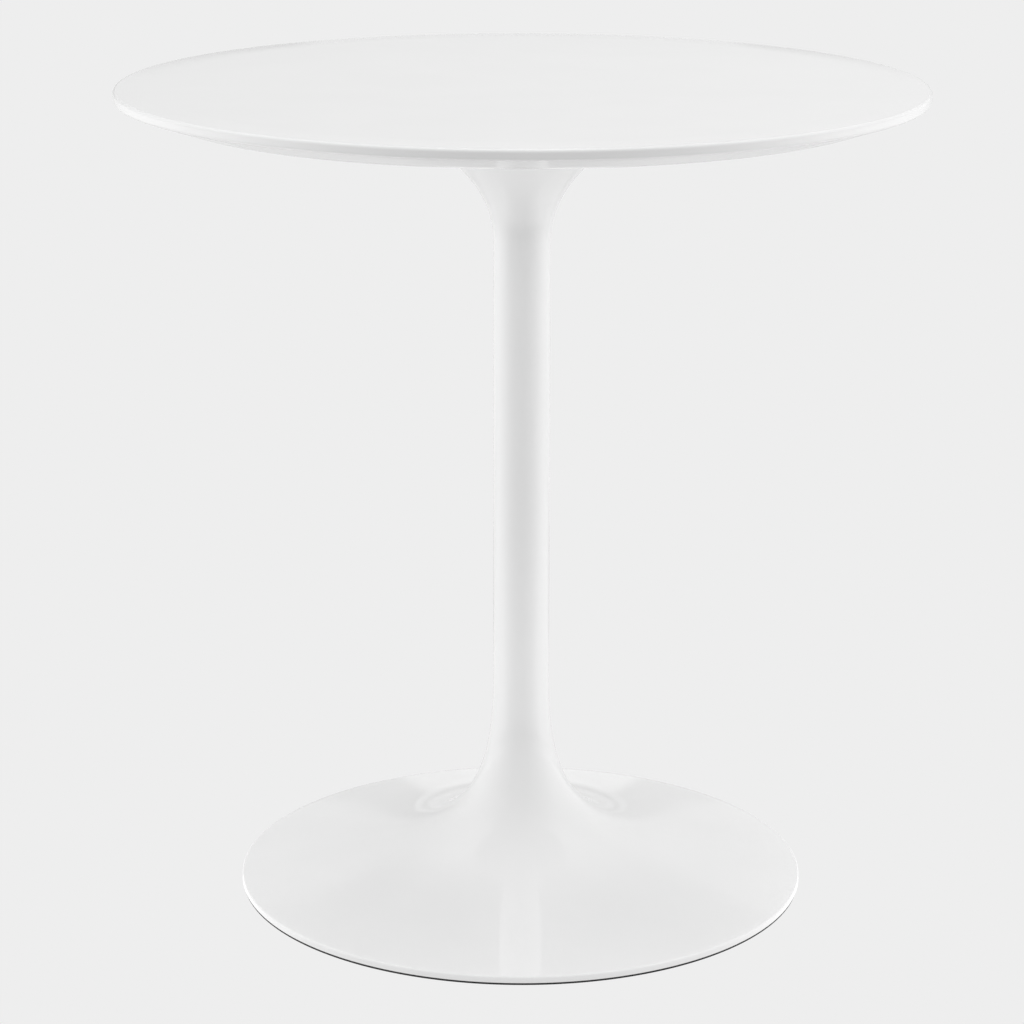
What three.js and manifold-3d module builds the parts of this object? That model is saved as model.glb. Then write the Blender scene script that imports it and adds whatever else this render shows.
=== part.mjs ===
// Round pedestal table: a white lacquered disc top on a one-piece cast trumpet pedestal.
// Millimetres, +Z up. The origin is on the floor, on the table's vertical axis.
import * as THREE from "three";
import { mergeVertices } from "three/addons/utils/BufferGeometryUtils.js";
import Module from "manifold-3d";

const wasm = await Module();
wasm.setup();

// ---- driving dimensions -------------------------------------------------------------------
const TABLE_HEIGHT = 737; // 29 inches, floor to table surface
const TOP_DIAMETER = 711; // 28 inches
const TOP_THICKNESS = 22; // board thickness
const TOP_EDGE_HEIGHT = 9.5; // upright part of the edge, above the bevel
const TOP_BEVEL_WIDTH = 40; // how far the bevel reaches in under the edge
const TOP_ARRIS = 3; // soft rounding of the lacquered edge, above and below

const BASE_DIAMETER = 518;
const BASE_EDGE_TOP = 6; // the rim's upright edge ends here and rounds into the trumpet
const BASE_ARRIS = 2;
const BASE_SLOPE = THREE.MathUtils.degToRad(10.5); // fall of the trumpet where it meets the rim
const COLUMN_RADIUS = 25.6;
const LOWER_FLARE_START = 196; // height at which the column starts to widen downwards
const LOWER_FLARE_HANDLES = [152, 186]; // curve handles at the column and at the rim
const UPPER_FLARE_START = 600; // height at which the column starts to widen upwards
const UPPER_FLARE_HANDLES = [62, 18];
const UPPER_FLARE_RADIUS = 117.5;
const UPPER_FLARE_SLOPE = THREE.MathUtils.degToRad(24.5);

const WALL = 5; // cast wall of the pedestal
const RIM_LAND = 17; // width of the solid rim around the open base
const FLANGE_EDGE = 4; // edge of the pedestal's top flange
const FLANGE_LIP = 1; // chamfer on that edge
const WEB_THICKNESS = 11; // flange web that takes the bolts
const CORE_HOLE_RADIUS = 18; // opening left by the casting core, in the middle of the web

const PLATE_DIAMETER = 300;
const PLATE_THICKNESS = 5;
const PLATE_CHAMFER = 0.8;

const RING_EXPOSED = 2; // black floor ring showing below the rim
const RING_INSET = 0.6;
const RING_CHAMFER = 0.4;
const RING_WIDTH = 12.4;
const TONGUE_WIDTH = 4.4; // rib on the ring that presses into the rim's groove
const TONGUE_HEIGHT = 2.7;
const TONGUE_INSET = 5.3; // from the rim's outside to the rib

const TOP_SCREW_COUNT = 8; // M6 x 16 pan head, plate to top
const TOP_SCREW_CIRCLE = 134;
const TOP_SCREW = {
  radius: 3,
  length: 16,
  tip: 0.6, // chamfer at the end of the thread
  headRadius: 6,
  headHeight: 3.6,
  crownRadius: 4.2, // flat face of the head
  crownHeight: 1.6,
  socket: 2, // hexagon, centre to corner
  socketDepth: 2.2,
};
const INSERT = { radius: 5, length: 12, recess: 0.5, lead: 0.9 }; // threaded, in the board
const PLATE_BOLT_COUNT = 4; // M8 x 20 countersunk, plate to pedestal
const PLATE_BOLT_CIRCLE = 56;
const PLATE_BOLT = {
  radius: 4,
  length: 20,
  tip: 0.8,
  headRadius: 8,
  coneHeight: 3.8,
  headRim: 0.2, // upright rim above the cone
  socket: 2.5,
  socketDepth: 2.7,
};

const GAP = 0.3; // clearance between a piece and the hole that it sits in
const THROUGH = 1; // how far a cutter runs past the face that it opens
const UPRIGHT = Math.PI / 2;
const ROUND_SEGMENTS = 60;
const SMALL_SEGMENTS = 12;
const HEXAGON = 6;
const ARC_STEPS = 3;
const LOWER_FLARE_STEPS = { outside: 12, inside: 9 };
const UPPER_FLARE_STEPS = { outside: 8, inside: 6 };

// ---- derived heights and radii ------------------------------------------------------------
const TOP_RADIUS = TOP_DIAMETER / 2;
const TOP_UNDERSIDE = TABLE_HEIGHT - TOP_THICKNESS;
const PLATE_UNDERSIDE = TOP_UNDERSIDE - PLATE_THICKNESS;
const WEB_UNDERSIDE = PLATE_UNDERSIDE - WEB_THICKNESS;
const BASE_RADIUS = BASE_DIAMETER / 2;

// ---- finishes -----------------------------------------------------------------------------
const whiteLacquer = () =>
  new THREE.MeshStandardMaterial({ color: 0xf1f1f0, roughness: 0.16, metalness: 0 });
const whitePowder = () =>
  new THREE.MeshStandardMaterial({ color: 0xe9e9e7, roughness: 0.45, metalness: 0 });
const blackRubber = () =>
  new THREE.MeshStandardMaterial({ color: 0x17171a, roughness: 0.8, metalness: 0 });
const zincSteel = () =>
  new THREE.MeshStandardMaterial({ color: 0xb9bcc0, roughness: 0.35, metalness: 1 });
const brass = () =>
  new THREE.MeshStandardMaterial({ color: 0xc9a45a, roughness: 0.35, metalness: 1 });

// ---- geometry helpers ---------------------------------------------------------------------
const point = (radius, z) => new THREE.Vector2(radius, z);

// Turns a profile of (radius, height) points around the Z axis.
function lathe(profile, segments) {
  return new THREE.LatheGeometry(profile, segments).rotateX(UPRIGHT);
}

// A closed profile, for a ring: the last point is the first one again.
function ring(profile, segments) {
  return lathe([...profile, profile[0].clone()], segments);
}

// Points of a rounded corner, from one angle to another, measured from the radial direction.
function corner(centreRadius, centreZ, radius, from, to) {
  const points = [];
  for (let i = 0; i <= ARC_STEPS; i++) {
    const angle = from + ((to - from) * i) / ARC_STEPS;
    points.push(point(centreRadius + radius * Math.cos(angle), centreZ + radius * Math.sin(angle)));
  }
  return points;
}

function toSolid(geometry) {
  const bare = geometry.index ? geometry.toNonIndexed() : geometry.clone();
  bare.deleteAttribute("normal");
  bare.deleteAttribute("uv");
  const merged = mergeVertices(bare, 1e-3);
  return new wasm.Manifold(
    new wasm.Mesh({
      numProp: 3,
      vertProperties: new Float32Array(merged.attributes.position.array),
      triVerts: new Uint32Array(merged.index.array),
    }),
  );
}

function toGeometry(solid) {
  const mesh = solid.getMesh();
  const geometry = new THREE.BufferGeometry();
  geometry.setAttribute("position", new THREE.BufferAttribute(mesh.vertProperties, 3));
  geometry.setIndex(new THREE.BufferAttribute(mesh.triVerts, 1));
  geometry.computeVertexNormals();
  return geometry;
}

function cut(geometry, tools) {
  let solid = toSolid(geometry);
  for (const tool of tools) solid = solid.subtract(toSolid(tool));
  return toGeometry(solid);
}

// Upright round cutter from one height to another.
function cutter(radius, bottom, top, sides = SMALL_SEGMENTS) {
  return new THREE.CylinderGeometry(radius, radius, top - bottom, sides)
    .rotateX(UPRIGHT)
    .translate(0, 0, (top + bottom) / 2);
}

// Places for `count` pieces around the axis; offset is a fraction of one step.
function around(count, radius, offset = 0.5) {
  return Array.from({ length: count }, (_, i) => {
    const angle = ((i + offset) * 2 * Math.PI) / count;
    return new THREE.Vector3(radius * Math.cos(angle), radius * Math.sin(angle), 0);
  });
}

const topScrewPlaces = around(TOP_SCREW_COUNT, TOP_SCREW_CIRCLE);
const plateBoltPlaces = around(PLATE_BOLT_COUNT, PLATE_BOLT_CIRCLE);

// One copy of a cutter at every place.
function cutAt(places, tool) {
  return places.map((place) => tool.clone().translate(place.x, place.y, 0));
}

const table = new THREE.Group();

function add(name, geometry, material, place = new THREE.Vector3()) {
  const mesh = new THREE.Mesh(geometry, material);
  mesh.name = name;
  mesh.position.copy(place);
  table.add(mesh);
}

// ---- table top ----------------------------------------------------------------------------
function tableTop() {
  const bevelTop = TABLE_HEIGHT - TOP_EDGE_HEIGHT;
  const bevelSlope = Math.atan2(TOP_THICKNESS - TOP_EDGE_HEIGHT, TOP_BEVEL_WIDTH);
  const edgeCentre = TOP_RADIUS - TOP_ARRIS;
  const disc = lathe(
    [
      point(0, TOP_UNDERSIDE),
      point(TOP_RADIUS - TOP_BEVEL_WIDTH, TOP_UNDERSIDE),
      ...corner(edgeCentre, bevelTop + TOP_ARRIS, TOP_ARRIS, bevelSlope - UPRIGHT, 0),
      ...corner(edgeCentre, TABLE_HEIGHT - TOP_ARRIS, TOP_ARRIS, 0, UPRIGHT),
      point(0, TABLE_HEIGHT),
    ],
    ROUND_SEGMENTS,
  );
  const depth = INSERT.recess + INSERT.length + GAP;
  const hole = cutter(INSERT.radius + GAP, TOP_UNDERSIDE - THROUGH, TOP_UNDERSIDE + depth);
  return cut(disc, cutAt(topScrewPlaces, hole));
}

// ---- pedestal -----------------------------------------------------------------------------
// The rim's upper arris: from its upright edge to where the trumpet's surface starts.
function rimArris() {
  return corner(BASE_RADIUS - BASE_ARRIS, BASE_EDGE_TOP, BASE_ARRIS, 0, UPRIGHT - BASE_SLOPE);
}

function lowerFlare() {
  const rimEnd = rimArris().pop();
  const [columnHandle, rimHandle] = LOWER_FLARE_HANDLES;
  return new THREE.CubicBezierCurve(
    rimEnd,
    point(
      rimEnd.x - rimHandle * Math.cos(BASE_SLOPE),
      rimEnd.y + rimHandle * Math.sin(BASE_SLOPE),
    ),
    point(COLUMN_RADIUS, LOWER_FLARE_START - columnHandle),
    point(COLUMN_RADIUS, LOWER_FLARE_START),
  );
}

function upperFlare() {
  const lip = point(UPPER_FLARE_RADIUS, PLATE_UNDERSIDE - FLANGE_EDGE);
  const [columnHandle, lipHandle] = UPPER_FLARE_HANDLES;
  return new THREE.CubicBezierCurve(
    point(COLUMN_RADIUS, UPPER_FLARE_START),
    point(COLUMN_RADIUS, UPPER_FLARE_START + columnHandle),
    point(
      lip.x - lipHandle * Math.cos(UPPER_FLARE_SLOPE),
      lip.y - lipHandle * Math.sin(UPPER_FLARE_SLOPE),
    ),
    lip,
  );
}

// The cast wall's inner face: points of the outer curve moved in by the wall thickness.
function innerFace(curve, steps) {
  return curve.getPoints(steps).map((outer, i) => {
    const along = curve.getTangent(i / steps);
    return point(outer.x - along.y * WALL, outer.y + along.x * WALL);
  });
}

function pedestal() {
  const lower = lowerFlare();
  const upper = upperFlare();
  const landInside = BASE_RADIUS - RIM_LAND;
  const grooveOutside = BASE_RADIUS - TONGUE_INSET + GAP;
  const grooveInside = BASE_RADIUS - TONGUE_INSET - TONGUE_WIDTH - GAP;
  const grooveTop = RING_EXPOSED + TONGUE_HEIGHT + GAP;
  const lowerInside = innerFace(lower, LOWER_FLARE_STEPS.inside).filter((p) => p.x < landInside);
  const upperInside = innerFace(upper, UPPER_FLARE_STEPS.inside).filter((p) => p.y < WEB_UNDERSIDE);
  const body = ring(
    [
      point(landInside, RING_EXPOSED),
      point(grooveInside, RING_EXPOSED),
      point(grooveInside, grooveTop),
      point(grooveOutside, grooveTop),
      point(grooveOutside, RING_EXPOSED),
      point(BASE_RADIUS, RING_EXPOSED),
      ...rimArris(),
      ...lower.getPoints(LOWER_FLARE_STEPS.outside).slice(1),
      ...upper.getPoints(UPPER_FLARE_STEPS.outside),
      point(UPPER_FLARE_RADIUS + FLANGE_LIP, PLATE_UNDERSIDE - FLANGE_EDGE + FLANGE_LIP),
      point(UPPER_FLARE_RADIUS + FLANGE_LIP, PLATE_UNDERSIDE),
      point(CORE_HOLE_RADIUS, PLATE_UNDERSIDE),
      point(CORE_HOLE_RADIUS, WEB_UNDERSIDE),
      ...upperInside.reverse(),
      ...lowerInside.reverse(),
    ],
    ROUND_SEGMENTS,
  );
  const tapped = cutter(PLATE_BOLT.radius + GAP, WEB_UNDERSIDE - WALL, PLATE_UNDERSIDE + THROUGH);
  return cut(body, cutAt(plateBoltPlaces, tapped));
}

// ---- floor ring ---------------------------------------------------------------------------
function floorRing() {
  const outside = BASE_RADIUS - RING_INSET;
  const tongueOutside = BASE_RADIUS - TONGUE_INSET;
  return ring(
    [
      point(outside - RING_WIDTH, 0),
      point(outside - RING_CHAMFER, 0),
      point(outside, RING_CHAMFER),
      point(outside, RING_EXPOSED),
      point(tongueOutside, RING_EXPOSED),
      point(tongueOutside, RING_EXPOSED + TONGUE_HEIGHT),
      point(tongueOutside - TONGUE_WIDTH, RING_EXPOSED + TONGUE_HEIGHT),
      point(tongueOutside - TONGUE_WIDTH, RING_EXPOSED),
      point(outside - RING_WIDTH, RING_EXPOSED),
    ],
    ROUND_SEGMENTS,
  );
}

// ---- mounting plate -----------------------------------------------------------------------
function mountingPlate() {
  const radius = PLATE_DIAMETER / 2;
  const disc = lathe(
    [
      point(0, PLATE_UNDERSIDE),
      point(radius - PLATE_CHAMFER, PLATE_UNDERSIDE),
      point(radius, PLATE_UNDERSIDE + PLATE_CHAMFER),
      point(radius, TOP_UNDERSIDE - PLATE_CHAMFER),
      point(radius - PLATE_CHAMFER, TOP_UNDERSIDE),
      point(0, TOP_UNDERSIDE),
    ],
    ROUND_SEGMENTS,
  );
  const bore = TOP_SCREW.radius + GAP;
  const screwHole = cutter(bore, PLATE_UNDERSIDE - THROUGH, TOP_UNDERSIDE + THROUGH);
  const countersink = countersinkCutter();
  return cut(disc, [...cutAt(topScrewPlaces, screwHole), ...cutAt(plateBoltPlaces, countersink)]);
}

// Through hole that opens into a cone for a countersunk head.
function countersinkCutter() {
  const shank = PLATE_BOLT.radius + GAP;
  const head = PLATE_BOLT.headRadius + GAP;
  const coneTop = TOP_UNDERSIDE - GAP;
  return lathe(
    [
      point(0, PLATE_UNDERSIDE - THROUGH),
      point(shank, PLATE_UNDERSIDE - THROUGH),
      point(shank, coneTop - PLATE_BOLT.coneHeight - GAP),
      point(head, coneTop - GAP),
      point(head, TOP_UNDERSIDE + THROUGH),
      point(0, TOP_UNDERSIDE + THROUGH),
    ],
    SMALL_SEGMENTS,
  );
}

// ---- fasteners, each modelled on the axis -------------------------------------------------
function topScrew() {
  const screw = TOP_SCREW;
  const head = PLATE_UNDERSIDE - screw.headHeight;
  const end = PLATE_UNDERSIDE + screw.length;
  const body = lathe(
    [
      point(0, head),
      point(screw.crownRadius, head),
      point(screw.headRadius, head + screw.crownHeight),
      point(screw.headRadius, PLATE_UNDERSIDE),
      point(screw.radius, PLATE_UNDERSIDE),
      point(screw.radius, end - screw.tip),
      point(screw.radius - screw.tip, end),
      point(0, end),
    ],
    SMALL_SEGMENTS,
  );
  return cut(body, [cutter(screw.socket, head - THROUGH, head + screw.socketDepth, HEXAGON)]);
}

function plateBolt() {
  const bolt = PLATE_BOLT;
  const face = TOP_UNDERSIDE - GAP;
  const end = face - bolt.length;
  const body = lathe(
    [
      point(0, end),
      point(bolt.radius - bolt.tip, end),
      point(bolt.radius, end + bolt.tip),
      point(bolt.radius, face - bolt.coneHeight),
      point(bolt.headRadius, face - bolt.headRim),
      point(bolt.headRadius, face),
      point(0, face),
    ],
    SMALL_SEGMENTS,
  );
  return cut(body, [cutter(bolt.socket, face - bolt.socketDepth, face + THROUGH, HEXAGON)]);
}

function threadedInsert() {
  const bottom = TOP_UNDERSIDE + INSERT.recess;
  const top = bottom + INSERT.length;
  const bore = TOP_SCREW.radius + GAP;
  return ring(
    [
      point(bore, bottom),
      point(INSERT.radius, bottom),
      point(INSERT.radius, top - INSERT.lead),
      point(INSERT.radius - INSERT.lead, top),
      point(bore, top),
    ],
    SMALL_SEGMENTS,
  );
}

// ---- assembly -----------------------------------------------------------------------------
add("table_top", tableTop(), whiteLacquer());
add("mounting_plate", mountingPlate(), whitePowder());
add("pedestal", pedestal(), whiteLacquer());
add("floor_ring", floorRing(), blackRubber());
topScrewPlaces.forEach((place, i) => {
  add(`threaded_insert_${i + 1}`, threadedInsert(), brass(), place);
  add(`top_screw_${i + 1}`, topScrew(), zincSteel(), place);
});
plateBoltPlaces.forEach((place, i) => {
  add(`plate_bolt_${i + 1}`, plateBolt(), zincSteel(), place);
});

export default table;
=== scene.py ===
"""Round pedestal table in white gloss lacquer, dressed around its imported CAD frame."""
import math

import bmesh
import bpy
from mathutils import Matrix, Vector


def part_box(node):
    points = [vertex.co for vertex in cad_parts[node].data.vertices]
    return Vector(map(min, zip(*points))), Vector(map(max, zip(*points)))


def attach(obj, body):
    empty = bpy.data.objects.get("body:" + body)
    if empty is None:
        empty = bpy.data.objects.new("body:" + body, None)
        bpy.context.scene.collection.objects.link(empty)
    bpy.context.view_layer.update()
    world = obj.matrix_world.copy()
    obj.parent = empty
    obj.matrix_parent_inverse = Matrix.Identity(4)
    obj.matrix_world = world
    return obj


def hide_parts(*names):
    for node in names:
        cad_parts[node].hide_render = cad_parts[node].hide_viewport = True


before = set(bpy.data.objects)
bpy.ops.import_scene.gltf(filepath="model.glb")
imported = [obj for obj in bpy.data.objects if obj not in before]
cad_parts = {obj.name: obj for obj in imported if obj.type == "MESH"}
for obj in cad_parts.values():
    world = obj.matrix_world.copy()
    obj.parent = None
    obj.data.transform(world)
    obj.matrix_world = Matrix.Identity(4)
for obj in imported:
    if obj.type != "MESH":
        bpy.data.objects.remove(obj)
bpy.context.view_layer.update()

MM = 0.001
TAU = 2 * math.pi

# ---- places read from the frame, in metres --------------------------------------------------
TOP_LOW, TOP_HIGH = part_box("table_top")
TOP_RADIUS = TOP_HIGH.x
TOP_SURFACE = TOP_HIGH.z
TOP_UNDERSIDE = TOP_LOW.z
PLATE_LOW, PLATE_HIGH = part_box("mounting_plate")
PLATE_RADIUS = PLATE_HIGH.x
PLATE_UNDERSIDE = PLATE_LOW.z
PEDESTAL_LOW, PEDESTAL_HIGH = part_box("pedestal")
BASE_RADIUS = PEDESTAL_HIGH.x
RIM_UNDERSIDE = PEDESTAL_LOW.z
RING_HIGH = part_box("floor_ring")[1]
TOP_SCREWS = [f"top_screw_{i}" for i in range(1, 9)]
INSERTS = [f"threaded_insert_{i}" for i in range(1, 9)]
PLATE_BOLTS = [f"plate_bolt_{i}" for i in range(1, 5)]

# ---- driving dimensions that the boxes don't hold ------------------------------------------
TOP_EDGE_HEIGHT = 9.5 * MM
TOP_BEVEL_WIDTH = 40 * MM
TOP_ARRIS = 3 * MM
BASE_EDGE_TOP = 6 * MM
BASE_ARRIS = 2 * MM
BASE_SLOPE = math.radians(10.5)
COLUMN_RADIUS = 25.6 * MM
LOWER_FLARE_START = 196 * MM
LOWER_FLARE_HANDLES = (152 * MM, 186 * MM)
UPPER_FLARE_START = 600 * MM
UPPER_FLARE_HANDLES = (62 * MM, 18 * MM)
UPPER_FLARE_RADIUS = 117.5 * MM
UPPER_FLARE_SLOPE = math.radians(24.5)
WALL = 5 * MM
RIM_LAND = 17 * MM
FLANGE_EDGE = 4 * MM
WEB_THICKNESS = 11 * MM
CORE_HOLE_RADIUS = 18 * MM
TONGUE_WIDTH = 4.4 * MM
TONGUE_INSET = 5.3 * MM
RING_WIDTH = 12.4 * MM
FINE_ROUND = 0.5 * MM
PLATE_ROUND = 0.8 * MM
M6_RADIUS = 3 * MM
M8_RADIUS = 4 * MM
BOLT_HEAD_RADIUS = 8 * MM
BOLT_HEAD_HEIGHT = 3.8 * MM
GAP = 0.3 * MM

# ---- counts and angles ----------------------------------------------------------------------
ROUND_SEGMENTS = 288
SMALL_SEGMENTS = 36
HEXAGON = 6
QUARTER = math.pi / 2
SHARP_ANGLE = math.radians(32)


# ---- profiles: lists of (radius, height) ----------------------------------------------------
def arc(radius_at, height_at, radius, start, end, steps=8):
    """Rounded corner about (radius_at, height_at), from one angle to another."""
    angles = [start + (end - start) * i / steps for i in range(steps + 1)]
    return [(radius_at + radius * math.cos(a), height_at + radius * math.sin(a)) for a in angles]


def line(start, end, steps):
    """Points from start up to but not including end."""
    return [
        (start[0] + (end[0] - start[0]) * i / steps, start[1] + (end[1] - start[1]) * i / steps)
        for i in range(steps)
    ]


def bezier(a, b, c, d, steps, offset=0.0):
    """Cubic curve through a and d, moved sideways by offset, to the left of its direction."""
    points = []
    for i in range(steps + 1):
        t = i / steps
        u = 1 - t
        place = [
            u**3 * a[k] + 3 * u * u * t * b[k] + 3 * u * t * t * c[k] + t**3 * d[k]
            for k in (0, 1)
        ]
        along = [
            u * u * (b[k] - a[k]) + 2 * u * t * (c[k] - b[k]) + t * t * (d[k] - c[k])
            for k in (0, 1)
        ]
        length = math.hypot(*along)
        points.append(
            (place[0] - offset * along[1] / length, place[1] + offset * along[0] / length)
        )
    return points


def rim_arris():
    return arc(BASE_RADIUS - BASE_ARRIS, BASE_EDGE_TOP, BASE_ARRIS, 0, QUARTER - BASE_SLOPE)


def lower_flare(steps, offset=0.0):
    rim = rim_arris()[-1]
    column_handle, rim_handle = LOWER_FLARE_HANDLES
    return bezier(
        rim,
        (rim[0] - rim_handle * math.cos(BASE_SLOPE), rim[1] + rim_handle * math.sin(BASE_SLOPE)),
        (COLUMN_RADIUS, LOWER_FLARE_START - column_handle),
        (COLUMN_RADIUS, LOWER_FLARE_START),
        steps,
        offset,
    )


def upper_flare(steps, offset=0.0):
    lip = (UPPER_FLARE_RADIUS, PLATE_UNDERSIDE - FLANGE_EDGE)
    column_handle, lip_handle = UPPER_FLARE_HANDLES
    return bezier(
        (COLUMN_RADIUS, UPPER_FLARE_START),
        (COLUMN_RADIUS, UPPER_FLARE_START + column_handle),
        (
            lip[0] - lip_handle * math.cos(UPPER_FLARE_SLOPE),
            lip[1] - lip_handle * math.sin(UPPER_FLARE_SLOPE),
        ),
        lip,
        steps,
        offset,
    )


# ---- mesh helpers ---------------------------------------------------------------------------
def revolve(name, profile, materials, segments=ROUND_SEGMENTS, closed=True, warp=None, slots=None):
    """Turns a profile around Z. closed joins its ends; an open one starts and ends on the axis.
    warp(radius, height, angle) gives the radius there, and slots a material index per stretch."""
    rows = []
    mesh = bmesh.new()
    for radius, height in profile:
        if radius < 1e-7:
            rows.append([mesh.verts.new((0, 0, height))] * segments)
            continue
        row = []
        for i in range(segments):
            angle = TAU * i / segments
            r = warp(radius, height, angle) if warp else radius
            row.append(mesh.verts.new((r * math.cos(angle), r * math.sin(angle), height)))
        rows.append(row)
    pairs = list(zip(rows, rows[1:]))
    if closed:
        pairs.append((rows[-1], rows[0]))
    for k, (low, high) in enumerate(pairs):
        for i in range(segments):
            j = (i + 1) % segments
            corners = list(dict.fromkeys((low[i], low[j], high[j], high[i])))
            if len(corners) > 2:
                face = mesh.faces.new(corners)
                face.smooth = True
                face.material_index = slots[k] if slots else 0
    bmesh.ops.recalc_face_normals(mesh, faces=mesh.faces)
    data = bpy.data.meshes.new(name)
    mesh.to_mesh(data)
    mesh.free()
    piece = bpy.data.objects.new(name, data)
    bpy.context.scene.collection.objects.link(piece)
    for material in materials:
        data.materials.append(material)
    return piece


def settle(piece):
    """Applies the piece's modifiers to its mesh, and marks its real corners as sharp."""
    graph = bpy.context.evaluated_depsgraph_get()
    data = bpy.data.meshes.new_from_object(piece.evaluated_get(graph))
    piece.modifiers.clear()
    piece.data = data
    data.polygons.foreach_set("use_smooth", [True] * len(data.polygons))
    data.set_sharp_from_angle(angle=SHARP_ANGLE)
    return piece


def carve(piece, cutters):
    """Cuts the cutters out of the piece and removes them."""
    for cutter in cutters:
        cut = piece.modifiers.new("cut", "BOOLEAN")
        cut.operation = "DIFFERENCE"
        cut.solver = "EXACT"
        cut.material_mode = "TRANSFER"
        cut.object = cutter
    settle(piece)
    for cutter in cutters:
        bpy.data.objects.remove(cutter)
    return piece


def plug(radius, low, high, place, material, segments=SMALL_SEGMENTS):
    """Upright round or hexagonal cutter."""
    profile = [(0, low), (radius, low), (radius, high), (0, high)]
    cutter = revolve("cutter", profile, [material], segments, closed=False)
    cutter.location = (place.x, place.y, 0)
    return cutter


def dress(piece, node):
    """The piece stands for a CAD node: it hangs under the root body, and the node's CAD part is
    hidden.
    """
    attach(piece, "root")
    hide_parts(node)


def centre_of(node):
    low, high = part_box(node)
    return (low + high) / 2


# ---- material helpers -----------------------------------------------------------------------
def calculate(tree, operation, a, b=0.0):
    """A Math node in the tree. a and b are numbers or sockets."""
    node = tree.nodes.new("ShaderNodeMath")
    node.operation = operation
    for socket, value in zip(node.inputs, (a, b)):
        if isinstance(value, (int, float)):
            socket.default_value = value
        else:
            tree.links.new(value, socket)
    return node.outputs["Value"]


class Shader:
    """A Principled material whose patterns are built from object coordinates, in metres."""

    def __init__(self, name, **constants):
        self.material = bpy.data.materials.new(name)
        self.material.use_nodes = True
        self.tree = self.material.node_tree
        self.principled = self.tree.nodes["Principled BSDF"]
        self.place = self.tree.nodes.new("ShaderNodeTexCoord").outputs["Object"]
        self.height = None
        for socket, value in constants.items():
            self.principled.inputs[socket.replace("_", " ")].default_value = value

    def node(self, kind, **settings):
        node = self.tree.nodes.new(kind)
        for name, value in settings.items():
            setattr(node, name, value)
        return node

    def link(self, source, target):
        self.tree.links.new(source, target)

    def noise(self, wavelength, detail=2.0, roughness=0.5, stretch=(1, 1, 1)):
        """Noise from 0 to 1 with features of about that size, in metres."""
        mapping = self.node("ShaderNodeMapping")
        mapping.inputs["Scale"].default_value = [s / wavelength for s in stretch]
        self.link(self.place, mapping.inputs["Vector"])
        noise = self.node("ShaderNodeTexNoise")
        noise.inputs["Scale"].default_value = 1
        noise.inputs["Detail"].default_value = detail
        noise.inputs["Roughness"].default_value = roughness
        self.link(mapping.outputs["Vector"], noise.inputs["Vector"])
        return noise.outputs["Fac"]

    def cells(self, size):
        """Distance from the middle of grains of about that size."""
        mapping = self.node("ShaderNodeMapping")
        mapping.inputs["Scale"].default_value = [1 / size] * 3
        self.link(self.place, mapping.inputs["Vector"])
        cells = self.node("ShaderNodeTexVoronoi")
        cells.inputs["Scale"].default_value = 1
        self.link(mapping.outputs["Vector"], cells.inputs["Vector"])
        return cells.outputs["Distance"]

    def scaled(self, value, low, high, start=0.3, stop=0.7):
        """Maps start..stop of a pattern to low..high."""
        remap = self.node("ShaderNodeMapRange")
        for name, number in (
            ("From Min", start),
            ("From Max", stop),
            ("To Min", low),
            ("To Max", high),
        ):
            remap.inputs[name].default_value = number
        self.link(value, remap.inputs["Value"])
        return remap.outputs["Result"]

    def added(self, a, b):
        return calculate(self.tree, "ADD", a, b)

    def colour(self, pattern, low, high):
        """Base colour that drifts between two colours with a pattern."""
        mix = self.node("ShaderNodeMix", data_type="RGBA")
        mix.inputs[6].default_value = (*low, 1)
        mix.inputs[7].default_value = (*high, 1)
        self.link(pattern, mix.inputs["Factor"])
        self.link(mix.outputs[2], self.principled.inputs["Base Color"])

    def roughness(self, pattern):
        self.link(pattern, self.principled.inputs["Roughness"])

    def bump(self, pattern, height):
        """Adds relief of that height, in metres."""
        bump = self.node("ShaderNodeBump")
        bump.inputs["Distance"].default_value = height
        self.link(pattern, bump.inputs["Height"])
        if self.height is not None:
            self.link(self.height, bump.inputs["Normal"])
        self.height = bump.outputs["Normal"]
        self.link(self.height, self.principled.inputs["Normal"])


def grey(value):
    return (value, value, value)


# ---- finishes -------------------------------------------------------------------------------
def lacquer(name, shade, roughness, peel):
    """Sprayed white gloss lacquer: orange peel, faint cloudiness and polishing haze."""
    s = Shader(name, IOR=1.5)
    s.colour(s.scaled(s.noise(0.09, 3), 0, 1), grey(shade - 0.008), grey(shade + 0.008))
    haze = s.scaled(s.noise(0.05, 4, 0.6), -0.01, 0.01)
    hairlines = s.scaled(s.noise(0.0006, 2, 0.6, (1, 0.04, 1)), 0, 0.025, 0.62, 0.75)
    s.roughness(s.added(s.added(haze, hairlines), roughness))
    s.bump(s.noise(0.0045, 1.5), peel)
    s.bump(s.noise(0.028, 1), peel * 2)
    return s.material


def raw_casting():
    """Unpolished inside of the casting under a thin coat of primer."""
    s = Shader("raw_casting_primer")
    s.colour(s.scaled(s.noise(0.03, 5, 0.65), 0, 1), grey(0.5), grey(0.64))
    s.roughness(s.scaled(s.noise(0.004, 4), 0.55, 0.8))
    s.bump(s.noise(0.0022, 4, 0.7), 0.0005)
    s.bump(s.cells(0.006), 0.00025)
    return s.material


def powder_coat():
    s = Shader("plate_powder_coat")
    s.colour(s.scaled(s.noise(0.04, 4), 0, 1), grey(0.76), grey(0.8))
    s.roughness(s.scaled(s.noise(0.003, 3), 0.36, 0.5))
    s.bump(s.noise(0.0011, 2), 0.00009)
    return s.material


def rubber():
    s = Shader("floor_ring_rubber")
    s.colour(s.scaled(s.noise(0.012, 5, 0.7), 0, 1), grey(0.008), grey(0.02))
    s.roughness(s.scaled(s.noise(0.002, 4), 0.6, 0.85))
    s.bump(s.noise(0.0006, 3), 0.00006)
    return s.material


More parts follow.
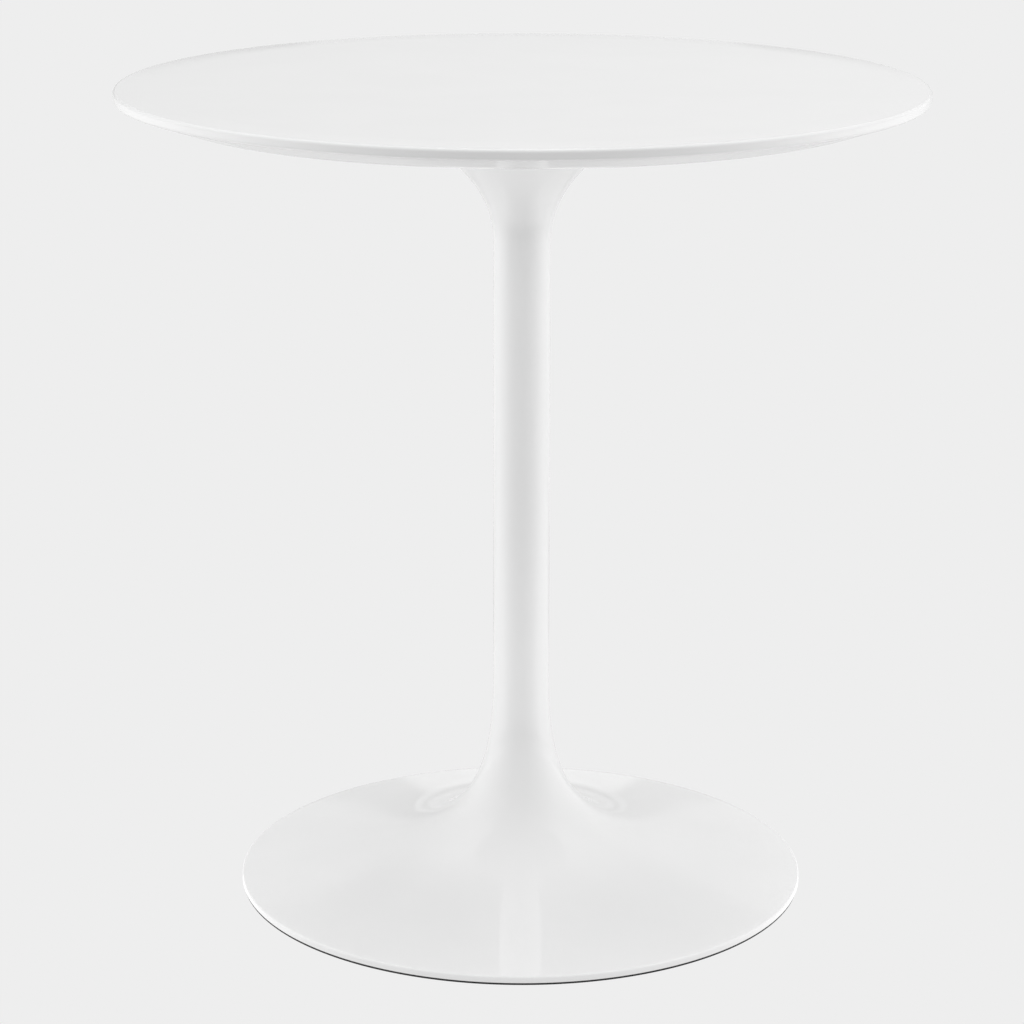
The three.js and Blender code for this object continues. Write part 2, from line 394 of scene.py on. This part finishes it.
def zinc():
    s = Shader("zinc_plated_steel", Metallic=1.0)
    s.colour(s.scaled(s.noise(0.004, 5, 0.6), 0, 1), (0.55, 0.57, 0.6), (0.7, 0.71, 0.7))
    s.roughness(s.scaled(s.noise(0.0015, 5, 0.65), 0.24, 0.46))
    s.bump(s.noise(0.0005, 3), 0.00002)
    return s.material


def brass():
    s = Shader("insert_brass", Metallic=1.0)
    s.colour(s.scaled(s.noise(0.003, 5), 0, 1), (0.62, 0.43, 0.17), (0.78, 0.6, 0.29))
    s.roughness(s.scaled(s.noise(0.001, 4), 0.25, 0.45))
    s.bump(s.noise(0.0004, 3), 0.00002)
    return s.material


def fibreboard():
    """Bare MDF, seen only inside the holes drilled in the top."""
    s = Shader("bare_fibreboard")
    s.colour(s.scaled(s.noise(0.0012, 6, 0.7), 0, 1), (0.3, 0.2, 0.11), (0.46, 0.33, 0.2))
    s.roughness(s.scaled(s.noise(0.001, 4), 0.8, 0.95))
    s.bump(s.noise(0.0004, 4), 0.0001)
    return s.material


GLOSS_ROUGHNESS = 0.05
PEEL_DEPTH = 0.0035 * MM
# The top's copy of the white lacquer is darker (0.84) than the pedestal's (0.885): painted shade
# that offsets the light the overhead box adds to the top.
TOP_LACQUER_PAINTED_DARKER = lacquer("top_white_lacquer", 0.84, GLOSS_ROUGHNESS, PEEL_DEPTH)
PEDESTAL_LACQUER = lacquer("pedestal_white_lacquer", 0.885, GLOSS_ROUGHNESS, PEEL_DEPTH)
CASTING = raw_casting()
POWDER = powder_coat()
RUBBER = rubber()
ZINC = zinc()
BRASS = brass()
FIBREBOARD = fibreboard()


# ---- table top ------------------------------------------------------------------------------
def table_top():
    bevel_top = TOP_SURFACE - TOP_EDGE_HEIGHT
    bevel_slope = math.atan2(TOP_SURFACE - TOP_UNDERSIDE - TOP_EDGE_HEIGHT, TOP_BEVEL_WIDTH)
    edge_centre = TOP_RADIUS - TOP_ARRIS
    bevel_foot = (TOP_RADIUS - TOP_BEVEL_WIDTH, TOP_UNDERSIDE)
    lower_arris = arc(edge_centre, bevel_top + TOP_ARRIS, TOP_ARRIS, bevel_slope - QUARTER, 0, 10)
    upper_arris = arc(edge_centre, TOP_SURFACE - TOP_ARRIS, TOP_ARRIS, 0, QUARTER, 12)
    profile = [
        *line((0, TOP_UNDERSIDE), bevel_foot, 8),
        *line(bevel_foot, lower_arris[0], 5),
        *lower_arris,
        *upper_arris,
        *line(upper_arris[-1], (0, TOP_SURFACE), 10)[1:],
        (0, TOP_SURFACE),
    ]
    top = revolve("table_top_lacquered", profile, [TOP_LACQUER_PAINTED_DARKER, FIBREBOARD], closed=False)
    insert_low, insert_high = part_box(INSERTS[0])
    hole_radius = (insert_high.x - insert_low.x) / 2 + GAP
    holes = [
        plug(hole_radius, TOP_UNDERSIDE - MM, insert_high.z + GAP, centre_of(node), FIBREBOARD)
        for node in INSERTS
    ]
    carve(top, holes)
    dress(top, "table_top")


# ---- pedestal -------------------------------------------------------------------------------
def pedestal():
    land_inside = BASE_RADIUS - RIM_LAND
    web_underside = PLATE_UNDERSIDE - WEB_THICKNESS
    groove_outside = BASE_RADIUS - TONGUE_INSET + GAP
    groove_inside = BASE_RADIUS - TONGUE_INSET - TONGUE_WIDTH - GAP
    groove_top = RING_HIGH.z + GAP
    flange_edge = UPPER_FLARE_RADIUS + MM
    outside = [
        (groove_outside, RIM_UNDERSIDE),
        *arc(BASE_RADIUS - FINE_ROUND, RIM_UNDERSIDE + FINE_ROUND, FINE_ROUND, -QUARTER, 0, 4),
        *rim_arris(),
        *lower_flare(110)[1:-1],
        *line((COLUMN_RADIUS, LOWER_FLARE_START), (COLUMN_RADIUS, UPPER_FLARE_START), 20),
        *upper_flare(60),
        (flange_edge, PLATE_UNDERSIDE - FLANGE_EDGE + MM),
        (flange_edge, PLATE_UNDERSIDE),
    ]
    inner_upper = [p for p in upper_flare(30, WALL) if p[1] < web_underside]
    inner_lower = [p for p in lower_flare(60, WALL) if p[0] < land_inside]
    inside = [
        (CORE_HOLE_RADIUS, PLATE_UNDERSIDE),
        (CORE_HOLE_RADIUS, web_underside),
        *reversed(inner_upper),
        *reversed(inner_lower),
        (land_inside, RIM_UNDERSIDE),
        (groove_inside, RIM_UNDERSIDE),
        (groove_inside, groove_top),
        (groove_outside, groove_top),
    ]
    slots = [0] * len(outside) + [1] * len(inside)
    body = revolve("pedestal_casting", outside + inside, [PEDESTAL_LACQUER, CASTING], slots=slots)
    holes = [
        plug(M8_RADIUS + GAP, web_underside - WALL, PLATE_UNDERSIDE + MM, centre_of(node), CASTING)
        for node in PLATE_BOLTS
    ]
    carve(body, holes)
    dress(body, "pedestal")


# ---- floor ring -----------------------------------------------------------------------------
def floor_ring():
    outside = RING_HIGH.x
    inside = outside - RING_WIDTH
    tread = RIM_UNDERSIDE
    rib_outside = BASE_RADIUS - TONGUE_INSET
    rib_inside = rib_outside - TONGUE_WIDTH
    rib_round = RING_HIGH.z - FINE_ROUND
    profile = [
        *arc(inside + FINE_ROUND, FINE_ROUND, FINE_ROUND, -2 * QUARTER, -QUARTER, 4),
        *arc(outside - FINE_ROUND, FINE_ROUND, FINE_ROUND, -QUARTER, 0, 4),
        (outside, tread),
        (rib_outside, tread),
        *arc(rib_outside - FINE_ROUND, rib_round, FINE_ROUND, 0, QUARTER, 4),
        *arc(rib_inside + FINE_ROUND, rib_round, FINE_ROUND, QUARTER, 2 * QUARTER, 4),
        (rib_inside, tread),
        (inside, tread),
    ]
    ring = settle(revolve("floor_ring_rubber", profile, [RUBBER]))
    dress(ring, "floor_ring")


# ---- mounting plate -------------------------------------------------------------------------
def mounting_plate():
    round_centre = PLATE_RADIUS - PLATE_ROUND
    profile = [
        (0, PLATE_UNDERSIDE),
        *line((PLATE_RADIUS / 3, PLATE_UNDERSIDE), (round_centre, PLATE_UNDERSIDE), 3),
        *arc(round_centre, PLATE_UNDERSIDE + PLATE_ROUND, PLATE_ROUND, -QUARTER, 0, 4),
        *arc(round_centre, TOP_UNDERSIDE - PLATE_ROUND, PLATE_ROUND, 0, QUARTER, 4),
        (0, TOP_UNDERSIDE),
    ]
    plate = revolve("mounting_plate_coated", profile, [POWDER], closed=False)
    holes = [
        plug(M6_RADIUS + GAP, PLATE_UNDERSIDE - MM, TOP_UNDERSIDE + MM, centre_of(node), POWDER)
        for node in TOP_SCREWS
    ]
    cone_top = TOP_UNDERSIDE - 2 * GAP
    sink = [
        (0, PLATE_UNDERSIDE - MM),
        (M8_RADIUS + GAP, PLATE_UNDERSIDE - MM),
        (M8_RADIUS + GAP, cone_top - BOLT_HEAD_HEIGHT),
        (BOLT_HEAD_RADIUS + GAP, cone_top),
        (BOLT_HEAD_RADIUS + GAP, TOP_UNDERSIDE + MM),
        (0, TOP_UNDERSIDE + MM),
    ]
    for node in PLATE_BOLTS:
        cutter = revolve("cutter", sink, [POWDER], SMALL_SEGMENTS, closed=False)
        cutter.location = (*centre_of(node).xy, 0)
        holes.append(cutter)
    carve(plate, holes)
    dress(plate, "mounting_plate")


# ---- fasteners ------------------------------------------------------------------------------
def thread(major, depth, pitch, low, high):
    """A warp that cuts a screw thread between two heights."""

    def warp(radius, height, angle):
        if radius < major - 1e-6 or not low < height < high:
            return radius
        phase = (height / pitch - angle / TAU) % 1
        return radius - depth * (1 - abs(2 * phase - 1))

    return warp


def top_screw():
    """M6 x 16 pan head, pointing up from the plate's underside."""
    head_low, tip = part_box(TOP_SCREWS[0])[0].z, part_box(TOP_SCREWS[0])[1].z
    radius = M6_RADIUS
    head = 6 * MM
    head_rim = 0.2 * MM
    crown = 9 * MM
    crown_angle = 0.42
    shoulder = 1.6 * MM
    shoulder_height = 2.2 * MM
    shoulder_angle = 0.9
    point = 0.6 * MM
    thread_depth, pitch = 0.55 * MM, 1 * MM
    thread_rows = 92
    plain_neck = 0.1 * MM
    thread_start, thread_stop = PLATE_UNDERSIDE + 1.2 * MM, tip - point - plain_neck
    socket_radius, socket_depth = 2.3 * MM, 2.1 * MM
    crown_arc = arc(0, head_low + crown, crown, -QUARTER, -QUARTER + crown_angle, 6)
    profile = [
        *[(max(r, 0), z) for r, z in crown_arc],
        *arc(head - shoulder, head_low + shoulder_height, shoulder, -shoulder_angle, 0, 6),
        (head, PLATE_UNDERSIDE - head_rim),
        (head - head_rim, PLATE_UNDERSIDE),
        (radius, PLATE_UNDERSIDE),
        *line((radius, PLATE_UNDERSIDE + plain_neck), (radius, tip - point), thread_rows),
        (radius - point, tip),
        (0, tip),
    ]
    warp = thread(radius, thread_depth, pitch, thread_start, thread_stop)
    screw = revolve("top_screw", profile, [ZINC], SMALL_SEGMENTS, closed=False, warp=warp)
    axis = Vector((0, 0, 0))
    socket = plug(socket_radius, head_low - MM, head_low + socket_depth, axis, ZINC, HEXAGON)
    return carve(screw, [socket])


def plate_bolt():
    """M8 x 20 countersunk, pointing down from the plate's upper face."""
    tip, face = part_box(PLATE_BOLTS[0])[0].z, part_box(PLATE_BOLTS[0])[1].z
    radius = M8_RADIUS
    cone = face - BOLT_HEAD_HEIGHT
    head_rim, head_round = 0.25 * MM, 0.15 * MM
    point = 0.8 * MM
    thread_depth, pitch = 0.65 * MM, 1.25 * MM
    thread_rows = 72
    plain_neck, plain_tip = 1.5 * MM, 0.1 * MM
    thread_start, thread_stop = tip + point + plain_tip, cone - plain_neck
    socket_radius, socket_depth = 2.9 * MM, 2.7 * MM
    profile = [
        (0, tip),
        (radius - point, tip),
        *line((radius, tip + point), (radius, cone), thread_rows),
        (radius, cone),
        (BOLT_HEAD_RADIUS, face - head_rim),
        (BOLT_HEAD_RADIUS - head_round, face),
        (0, face),
    ]
    warp = thread(radius, thread_depth, pitch, thread_start, thread_stop)
    bolt = revolve("plate_bolt", profile, [ZINC], SMALL_SEGMENTS, closed=False, warp=warp)
    axis = Vector((0, 0, 0))
    socket = plug(socket_radius, face - socket_depth, face + MM, axis, ZINC, HEXAGON)
    return carve(bolt, [socket])


def threaded_insert():
    """Brass insert with two knurled bands between plain collars. Its bore has no thread."""
    low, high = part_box(INSERTS[0])[0].z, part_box(INSERTS[0])[1].z
    radius = 5 * MM
    bore = M6_RADIUS + GAP
    lead = 0.8 * MM
    knurls = 18
    knurl_rows = 36
    knurl_depth = 0.5 * MM
    bands = ((low + 1 * MM, low + 5 * MM), (low + 6.5 * MM, high - 1.5 * MM))

    def knurl(r, height, angle):
        if r < radius - 1e-6 or not any(a < height < b for a, b in bands):
            return r
        return r - knurl_depth * abs(math.sin(knurls * angle / 2))

    profile = [
        (bore, low),
        (radius, low),
        *line((radius, low + 0.3 * MM), (radius, high - MM), knurl_rows),
        (radius - lead, high),
        (bore, high),
    ]
    segments = knurls * 6
    return settle(revolve("threaded_insert", profile, [BRASS], segments, warp=knurl))


def set_around(pattern, nodes, suffix):
    """One copy of a fastener at each of its CAD nodes; all of them share one mesh."""
    for node in nodes:
        piece = bpy.data.objects.new(f"{node}_{suffix}", pattern.data)
        bpy.context.scene.collection.objects.link(piece)
        piece.location = (*centre_of(node).xy, 0)
        dress(piece, node)
    bpy.data.objects.remove(pattern)


# ---- studio ---------------------------------------------------------------------------------
FLOOR_WIDTH = 80.0
FLOOR_DROP = 0.2 * MM  # keeps the paper from touching the rubber ring
PAPER_TONE = 0.855  # the pale paper floor and wall, as they look
# How brightly each part of the studio lights the table. The names with UNLIT are taken away.
WALL_GLOW = 0.735
SIDE_BOXES = 0.5
OVERHEAD_BOX = 1.6
REAR_OVERHEAD_BOX = 0.42
LOW_REAR_BOX = 0.12
UNLIT_FRONT = 0.1
UNLIT_REAR_CEILING = 0.55
UNLIT_REAR_CORNERS = 0.13
BRIGHTER_TO_THE_RIGHT = 0.35
FLOOR_GLOW = 0.76
FLOOR_UNDER_SIDE_BOXES = 0.8
FLOOR_BESIDE_BASE = 0.5
FLOOR_FRONT_HALF = 0.65
FLOOR_REAR_STRIP = 0.2
UNLIT_FLOOR_BEHIND = 0.15
UNLIT_FLOOR_IN_FRONT = 0.75
UNLIT_FLOOR_FAR_IN_FRONT = 0.65


class Glow:
    """Brightness as a formula of a direction or a place: x to the right, y back, z up."""

    def __init__(self, tree, coordinates):
        self.tree = tree
        separate = tree.nodes.new("ShaderNodeSeparateXYZ")
        source = tree.nodes.new("ShaderNodeTexCoord").outputs[coordinates]
        tree.links.new(source, separate.inputs["Vector"])
        self.x, self.y, self.z = separate.outputs

    def math(self, operation, a, b=0.0):
        return calculate(self.tree, operation, a, b)

    def total(self, first, *others):
        for other in others:
            first = self.math("ADD", first, other)
        return first

    def product(self, first, *others):
        for other in others:
            first = self.math("MULTIPLY", first, other)
        return first

    def square(self, value):
        return self.product(value, value)

    def rise(self, value, start, stop):
        """0 up to start, 1 from stop on."""
        node = self.tree.nodes.new("ShaderNodeMapRange")
        node.interpolation_type = "SMOOTHSTEP"
        node.inputs["From Min"].default_value = start
        node.inputs["From Max"].default_value = stop
        self.tree.links.new(value, node.inputs["Value"])
        return node.outputs["Result"]

    def fall(self, value, start, stop):
        return self.math("SUBTRACT", 1.0, self.rise(value, start, stop))

    def window(self, value, start, full, fade, stop):
        return self.product(self.rise(value, start, full), self.fall(value, fade, stop))

    def sideways(self, narrowness):
        """1 out to the left and right, 0 straight ahead and behind."""
        across = self.square(self.x)
        ratio = self.math("DIVIDE", across, self.total(across, self.square(self.y), 1e-6))
        return self.math("POWER", ratio, narrowness)

    def shown_plain(self, glow):
        """The paper looks even to the lens, however the boxes fall on it."""
        path = self.tree.nodes.new("ShaderNodeLightPath").outputs["Is Camera Ray"]
        mix = self.tree.nodes.new("ShaderNodeMix")
        mix.inputs["B"].default_value = PAPER_TONE
        self.tree.links.new(path, mix.inputs["Factor"])
        self.tree.links.new(self.math("MAXIMUM", glow, 0.0), mix.inputs["A"])
        return mix.outputs["Result"]


def wall():
    """Paper wall all round, with soft boxes at the sides and overhead.

    g.x, g.y and g.z are the parts of a unit direction: 0.1 is about 6 degrees off."""
    world = bpy.data.worlds.new("studio")
    world.use_nodes = True
    g = Glow(world.node_tree, "Generated")
    behind = g.rise(g.y, 0.3, 0.6)
    in_front = g.fall(g.y, -0.6, 0.2)
    aside = g.math("ABSOLUTE", g.x)
    side_boxes = g.product(g.sideways(1.4), SIDE_BOXES)
    overhead_box = g.product(g.rise(g.z, 0.95, 0.985), OVERHEAD_BOX)
    rear_overhead_box = g.product(
        g.rise(g.z, 0.6, 0.9), g.rise(g.y, -0.3, 0.3), REAR_OVERHEAD_BOX
    )
    low_rear_box = g.product(
        g.fall(g.z, 0.04, 0.055), g.rise(g.y, 0.6, 0.9), g.fall(aside, 0.062, 0.074), LOW_REAR_BOX
    )
    unlit_front = g.product(
        g.fall(g.z, 0.2, 0.75), in_front, g.fall(aside, 0.4, 0.85), -UNLIT_FRONT
    )
    unlit_rear_ceiling = g.product(
        g.window(g.z, 0.46, 0.54, 0.88, 0.95),
        behind,
        g.fall(aside, 0.1, 0.35),
        -UNLIT_REAR_CEILING,
    )
    unlit_rear_corners = g.product(
        g.fall(g.z, 0.09, 0.125),
        behind,
        g.window(aside, 0.064, 0.078, 0.3, 0.5),
        -UNLIT_REAR_CORNERS,
    )
    to_the_right = g.product(g.x, g.rise(g.y, 0.5, 0.9), BRIGHTER_TO_THE_RIGHT)
    glow = g.total(
        WALL_GLOW,
        side_boxes,
        overhead_box,
        rear_overhead_box,
        low_rear_box,
        unlit_front,
        unlit_rear_ceiling,
        unlit_rear_corners,
        to_the_right,
    )
    background = world.node_tree.nodes["Background"]
    background.inputs["Color"].default_value = (1, 1, 1, 1)
    world.node_tree.links.new(g.shown_plain(glow), background.inputs["Strength"])
    bpy.context.scene.world = world


def floor():
    """Paper floor, brightest under the side boxes and dim straight ahead of the table.

    g.x and g.y are metres from the table's axis, and reach is the distance from it. aside
    and forward are the shares of that distance to the left or right and to the front."""
    half = FLOOR_WIDTH / 2
    corners = [(-half, -half, 0), (half, -half, 0), (half, half, 0), (-half, half, 0)]
    mesh = bpy.data.meshes.new("floor")
    mesh.from_pydata(corners, [], [(0, 1, 2, 3)])
    piece = bpy.data.objects.new("floor", mesh)
    piece.location.z = -FLOOR_DROP
    bpy.context.scene.collection.objects.link(piece)
    white, black = (1, 1, 1, 1), (0, 0, 0, 1)
    paper = Shader("floor_paper", Base_Color=black, Emission_Color=white, Specular_IOR_Level=0.0)
    g = Glow(paper.tree, "Object")
    reach = g.math("SQRT", g.total(g.square(g.x), g.square(g.y)))
    aside = g.math("DIVIDE", g.math("ABSOLUTE", g.x), reach)
    forward = g.math("MAXIMUM", g.product(g.math("DIVIDE", g.y, reach), -1.0), 0.0)
    under_side_boxes = g.product(g.sideways(1.4), g.rise(reach, 1.0, 3.5), FLOOR_UNDER_SIDE_BOXES)
    beside_base = g.product(g.sideways(3.0), g.rise(reach, 0.0, 0.3), FLOOR_BESIDE_BASE)
    front_half = g.product(
        g.window(reach, 0.2, 0.4, 0.7, 1.2), g.fall(g.y, -0.2, 0.1), FLOOR_FRONT_HALF
    )
    rear_strip = g.product(
        g.rise(g.y, 1.3, 1.6), g.fall(aside, 0.07, 0.09), FLOOR_REAR_STRIP
    )
    unlit_behind = g.product(g.window(g.y, 0.55, 0.75, 1.0, 1.2), -UNLIT_FLOOR_BEHIND)
    unlit_in_front = g.product(
        g.square(forward), g.window(reach, 0.2, 0.4, 1.0, 3.0), -UNLIT_FLOOR_IN_FRONT
    )
    unlit_far_in_front = g.product(
        g.square(forward), g.rise(reach, 3.2, 4.2), -UNLIT_FLOOR_FAR_IN_FRONT
    )
    glow = g.total(
        FLOOR_GLOW,
        under_side_boxes,
        beside_base,
        front_half,
        rear_strip,
        unlit_behind,
        unlit_in_front,
        unlit_far_in_front,
    )
    paper.link(g.shown_plain(glow), paper.principled.inputs["Emission Strength"])
    mesh.materials.append(paper.material)


def studio():
    bpy.context.scene.view_settings.view_transform = "Standard"
    wall()
    floor()


# ---- camera ---------------------------------------------------------------------------------
EYE = (0, -2.7564, 1.1251)
FOCAL_LENGTH = 111.1  # for a frame 36 mm wide
PITCH, YAW, ROLL = math.radians(15.73), math.radians(0.177), math.radians(0.096)


def camera():
    """Long lens, looking a little down on the table from in front."""
    data = bpy.data.cameras.new("camera")
    data.lens = FOCAL_LENGTH
    data.sensor_width = 36
    data.clip_end = 200
    eye = bpy.data.objects.new("camera", data)
    eye.matrix_world = (
        Matrix.Translation(EYE)
        @ Matrix.Rotation(YAW, 4, "Z")
        @ Matrix.Rotation(QUARTER - PITCH, 4, "X")
        @ Matrix.Rotation(ROLL, 4, "Z")
    )
    bpy.context.scene.collection.objects.link(eye)
    bpy.context.scene.camera = eye


camera()
studio()
table_top()
mounting_plate()
pedestal()
floor_ring()
set_around(top_screw(), TOP_SCREWS, "zinc")
set_around(plate_bolt(), PLATE_BOLTS, "zinc")
set_around(threaded_insert(), INSERTS, "brass")

bpy.context.view_layer.update()
